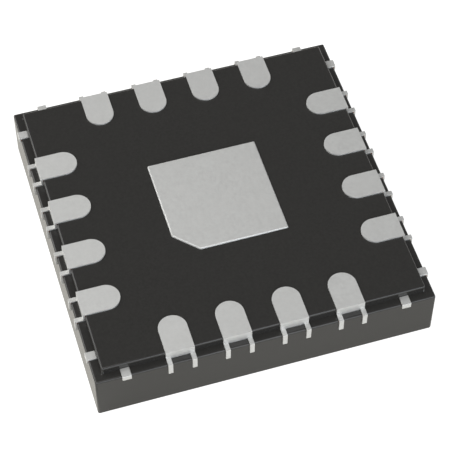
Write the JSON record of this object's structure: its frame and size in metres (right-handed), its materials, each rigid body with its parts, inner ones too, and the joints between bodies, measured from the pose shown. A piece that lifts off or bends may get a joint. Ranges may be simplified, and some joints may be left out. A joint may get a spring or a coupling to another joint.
{
  "type": "quad flat no-lead chip",
  "caption": "Square flat chip package lying pads up: dark moulded body with a sawn ledge, rounded solder pads along each side and a chamfered square pad in the middle.",
  "frame": {"origin": "centre of the marked face, which the chip lies on, at the bottom of its box", "axes": "+Z from the marked face to the solder pads; +X and +Y square to the sides, with the chamfered pin-one corner at -X -Y"},
  "size_m": [0.003, 0.003, 0.0006],
  "materials": {
    "mould_compound": "smooth dark epoxy moulding compound, sawn at the sides",
    "plated_copper": "matte tin plating on copper",
    "silicon": "opaque polished silicon",
    "die_glue": "silver-filled epoxy glue",
    "gold": "drawn gold wire"
  },
  "bodies": {
    "root": {"bond_wire_01": "gold", "bond_wire_02": "gold", "bond_wire_03": "gold", "bond_wire_04": "gold", "bond_wire_05": "gold", "bond_wire_06": "gold", "bond_wire_07": "gold", "bond_wire_08": "gold", "bond_wire_09": "gold", "bond_wire_10": "gold", "bond_wire_11": "gold", "bond_wire_12": "gold", "bond_wire_13": "gold", "bond_wire_14": "gold", "bond_wire_15": "gold", "bond_wire_16": "gold", "die_glue": "die_glue", "die_paddle": "plated_copper", "lead_01": "plated_copper", "lead_02": "plated_copper", "lead_03": "plated_copper", "lead_04": "plated_copper", "lead_05": "plated_copper", "lead_06": "plated_copper", "lead_07": "plated_copper", "lead_08": "plated_copper", "lead_09": "plated_copper", "lead_10": "plated_copper", "lead_11": "plated_copper", "lead_12": "plated_copper", "lead_13": "plated_copper", "lead_14": "plated_copper", "lead_15": "plated_copper", "lead_16": "plated_copper", "moulded_body": "mould_compound", "silicon_die": "silicon"}
  },
  "joints": []
}
